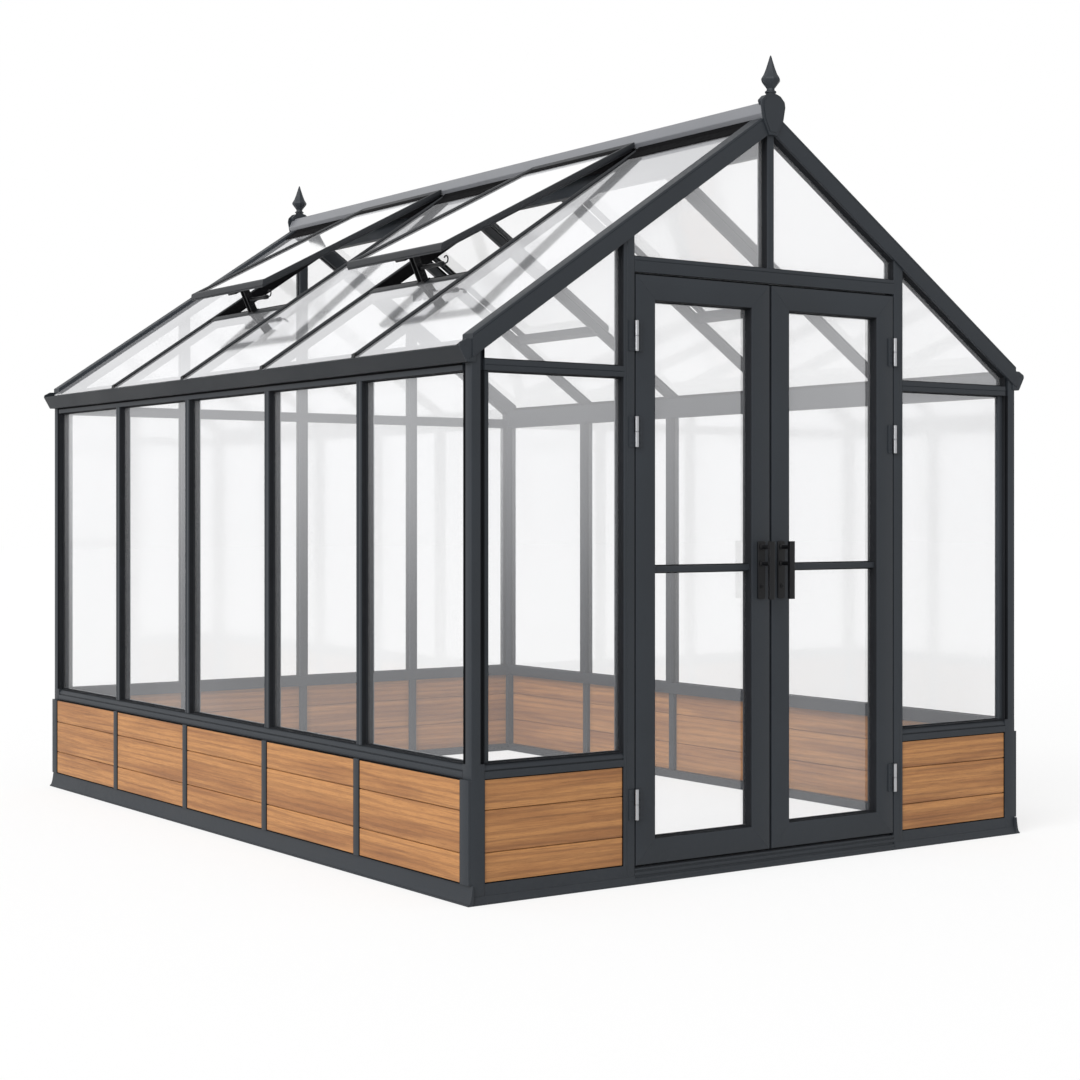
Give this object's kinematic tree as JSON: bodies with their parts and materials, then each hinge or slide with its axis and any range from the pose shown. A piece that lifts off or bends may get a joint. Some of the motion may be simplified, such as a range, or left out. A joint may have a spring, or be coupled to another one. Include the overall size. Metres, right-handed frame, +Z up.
{
  "type": "greenhouse",
  "caption": "Free-standing gable-roofed glass greenhouse with a low boarded wall, hinged double doors and roof vents.",
  "frame": {"origin": "middle of the footprint at ground level", "axes": "+Z up, -Y out of the gable with the doors, +X to the right facing that gable"},
  "size_m": [2.536, 3.4449, 2.7632],
  "materials": {
    "frame_paint": "satin powder coat",
    "black_fittings": "satin black",
    "boards": "oiled oak colour",
    "glass": "clear, gloss",
    "hinge_steel": "satin"
  },
  "bodies": {
    "greenhouse": {"base_rails": "frame_paint", "door_threshold": "frame_paint", "corner_posts": "frame_paint", "sill_rails": "frame_paint", "wall_bars": "frame_paint", "back_uprights": "frame_paint", "eave_beams": "frame_paint", "gutter_faces": "frame_paint", "gutter_floors": "frame_paint", "gable_cross_rails": "frame_paint", "door_jambs": "frame_paint", "door_header": "frame_paint", "king_post": "frame_paint", "gable_rafters": "frame_paint", "ridge_beam": "frame_paint", "ridge_spine": "frame_paint", "roof_bars": "frame_paint", "vent_trimmers": "frame_paint", "vent_side_rails": "frame_paint", "vent_end_rails": "frame_paint", "gutter_end_caps": "frame_paint", "low_wall_strips": "frame_paint", "vent_opener_arms": "black_fittings", "vent_opener_cylinders": "black_fittings", "finials": "frame_paint", "left_low_wall": "boards", "right_low_wall": "boards", "back_low_wall": "boards", "front_low_wall": "boards", "left_wall_glass": "glass", "right_wall_glass": "glass", "back_wall_glass": "glass", "front_wall_glass": "glass", "gable_glass": "glass", "left_roof_glass": "glass", "right_roof_glass": "glass", "vent_glass": "glass", "frame_hinges": "hinge_steel"},
    "left_door": {"left_door_stiles": "frame_paint", "left_door_rails": "frame_paint", "left_door_glass": "glass", "left_door_handle": "black_fittings", "left_door_hinges": "hinge_steel"},
    "right_door": {"right_door_stiles": "frame_paint", "right_door_rails": "frame_paint", "right_door_glass": "glass", "right_door_handle": "black_fittings", "right_door_hinges": "hinge_steel"}
  },
  "joints": [
    {"name": "left_door_hinge", "type": "hinge", "parent": "greenhouse", "child": "left_door", "pos_m": [-0.5845, -1.6675, 1], "axis": [0, 0, -1], "range_deg": [0, 100]},
    {"name": "right_door_hinge", "type": "hinge", "parent": "greenhouse", "child": "right_door", "pos_m": [0.5845, -1.6675, 1], "axis": [0, 0, 1], "range_deg": [0, 100]}
  ]
}
